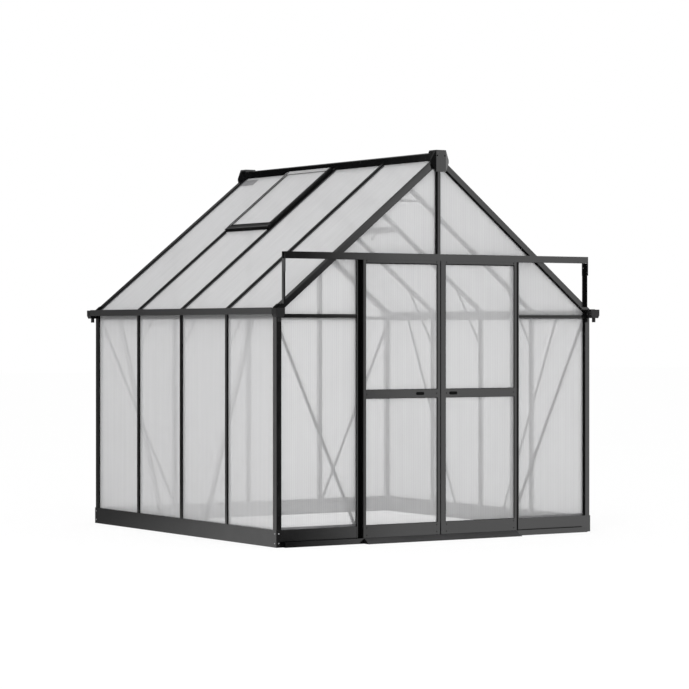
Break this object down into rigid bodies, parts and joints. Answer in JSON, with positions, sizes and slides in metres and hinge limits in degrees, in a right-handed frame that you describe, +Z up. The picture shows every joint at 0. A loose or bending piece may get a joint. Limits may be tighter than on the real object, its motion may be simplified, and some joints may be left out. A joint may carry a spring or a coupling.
{
  "type": "polycarbonate greenhouse",
  "caption": "Walk-in garden greenhouse with a dark metal frame, translucent twin-wall sheets, pitched roof with vents, gutters and sliding double doors on a base frame.",
  "frame": {"origin": "middle of the whole part's footprint, at ground level", "axes": "+X to the right as seen facing the doors, +Y from the door end to the back, +Z up"},
  "size_m": [2.564, 2.645, 2.548],
  "materials": {
    "frame_paint": "satin powder coat",
    "base_steel": "satin powder coat",
    "twinwall_sheet": "fluted, translucent",
    "black_plastic": "fine grain",
    "runner_steel": "zinc plated"
  },
  "bodies": {
    "frame": {"base_front": "base_steel", "base_back": "base_steel", "base_left": "base_steel", "base_right": "base_steel", "corner_posts": "frame_paint", "side_posts": "frame_paint", "back_posts": "frame_paint", "door_jambs": "frame_paint", "king_post": "frame_paint", "eave_bars": "frame_paint", "door_header": "frame_paint", "eave_beams": "frame_paint", "gutters": "frame_paint", "gutter_end_caps": "black_plastic", "ridge_beam": "frame_paint", "ridge_caps": "black_plastic", "gable_rafters": "frame_paint", "rafters": "frame_paint", "side_wall_sheets": "twinwall_sheet", "back_wall_sheets": "twinwall_sheet", "front_wall_sheets": "twinwall_sheet", "gable_sheets_front": "twinwall_sheet", "gable_sheets_back": "twinwall_sheet", "roof_sheets_left": "twinwall_sheet", "roof_sheets_right": "twinwall_sheet", "vent_frames": "frame_paint", "vent_sheets": "twinwall_sheet", "wall_braces": "frame_paint", "knee_braces": "frame_paint", "collar_ties": "frame_paint", "door_track": "frame_paint", "track_struts": "frame_paint", "guide_rail": "frame_paint", "threshold_ramp": "frame_paint"},
    "door_left": {"door_left_stiles": "frame_paint", "door_left_rails": "frame_paint", "door_left_sheets": "twinwall_sheet", "door_left_handle": "black_plastic", "door_left_runners": "runner_steel"},
    "door_right": {"door_right_stiles": "frame_paint", "door_right_rails": "frame_paint", "door_right_sheets": "twinwall_sheet", "door_right_handle": "black_plastic", "door_right_runners": "runner_steel"}
  },
  "joints": [
    {"name": "door_left_slide", "type": "slide", "parent": "frame", "child": "door_left", "axis": [-1, 0, 0], "range_m": [0, 0.58]},
    {"name": "door_right_slide", "type": "slide", "parent": "frame", "child": "door_right", "axis": [1, 0, 0], "range_m": [0, 0.58]}
  ]
}
